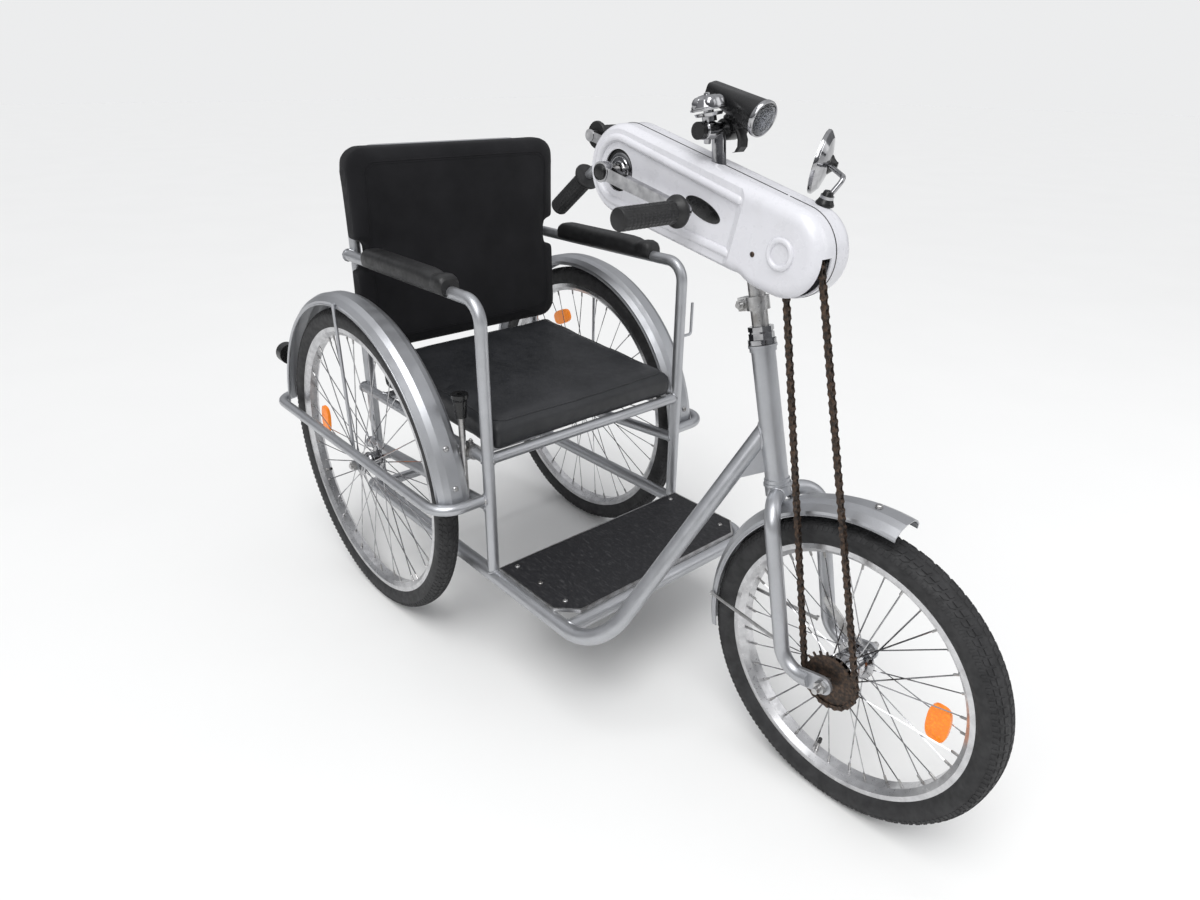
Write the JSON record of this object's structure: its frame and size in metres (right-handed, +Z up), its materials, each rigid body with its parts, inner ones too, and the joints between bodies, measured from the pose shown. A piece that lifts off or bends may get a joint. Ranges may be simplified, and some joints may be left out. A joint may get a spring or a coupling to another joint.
{
  "type": "hand-cranked tricycle",
  "caption": "Hand-cranked tricycle with a padded armchair on a tube frame, fenders, a footboard and a steered, chain-driven front wheel.",
  "frame": {"origin": "on the ground, under the middle of the bounding box", "axes": "+X forward, +Y to the rider's left, +Z up"},
  "size_m": [1.62, 0.7, 1.0594],
  "materials": {
    "silver": "silver paint, satin",
    "steel": "satin",
    "dark_steel": "oiled, dark",
    "chrome": "polished",
    "rim": "bright satin",
    "white_plastic": "gloss",
    "black_plastic": "matte",
    "black_rubber": "matte",
    "black_vinyl": "vinyl, satin",
    "black_fabric": "woven, matte",
    "black_board": "matte",
    "tyre": "matte",
    "amber": "reflector",
    "clear_lens": "clear",
    "mirror": "polished"
  },
  "bodies": {
    "frame": {"head_tube": "silver", "head_gusset": "silver", "main_tube": "silver", "lower_frame": "silver", "armrest_tubes": "silver", "back_frame": "silver", "side_tubes": "silver", "rear_axles": "steel", "seat_frame": "silver", "seat_cushion": "black_vinyl", "backrest": "black_fabric", "armrest_pads": "black_rubber", "footboard": "black_board", "wheel_guards": "silver", "rear_fenders": "silver", "fender_struts": "silver", "rear_lamp": "black_plastic", "brake_lever": "steel", "brake_lever_grip": "black_plastic", "side_hook": "silver"},
    "steering": {"fork": "silver", "headset_locknut": "chrome", "front_axle": "steel", "front_fender": "silver", "front_fender_stays": "steel", "stem": "steel", "case_right": "white_plastic", "case_left": "white_plastic", "drive_chain": "dark_steel", "chain_sprockets": "dark_steel", "brake_arm": "steel", "accessory_post": "chrome", "bar_caps": "black_plastic", "bell": "chrome", "headlight": "black_plastic", "headlight_lens": "clear_lens", "mirror": "chrome", "mirror_glass": "mirror", "grab_handle_bar": "silver", "grab_handle_grip": "black_rubber"},
    "front_wheel": {"front_tyre": "tyre", "front_rim": "rim", "front_hub": "chrome", "front_reflector": "amber"},
    "crank": {"crank_axle": "steel", "crank_arms": "chrome", "crank_grips": "black_rubber"},
    "rear_wheel_right": {"rear_tyre_right": "tyre", "rear_rim_right": "rim", "rear_hub_right": "chrome", "rear_reflector_right": "amber"},
    "rear_wheel_left": {"rear_tyre_left": "tyre", "rear_rim_left": "rim", "rear_hub_left": "chrome", "rear_reflector_left": "amber"}
  },
  "joints": [
    {"name": "steer", "type": "hinge", "parent": "frame", "child": "steering", "pos_m": [0.4, 0, 0.498], "axis": [-0.2504, 0, 0.9681], "range_deg": [-35, 35]},
    {"name": "front_wheel_spin", "type": "hinge", "parent": "steering", "child": "front_wheel", "pos_m": [0.564, 0, 0.246], "axis": [0, 1, 0], "continuous": true},
    {"name": "crank_spin", "type": "hinge", "parent": "steering", "child": "crank", "pos_m": [0.085, 0, 0.934], "axis": [0, 1, 0], "continuous": true},
    {"name": "right_wheel_spin", "type": "hinge", "parent": "frame", "child": "rear_wheel_right", "pos_m": [-0.416, -0.293, 0.324], "axis": [0, 1, 0], "continuous": true},
    {"name": "left_wheel_spin", "type": "hinge", "parent": "frame", "child": "rear_wheel_left", "pos_m": [-0.416, 0.293, 0.324], "axis": [0, 1, 0], "continuous": true}
  ]
}
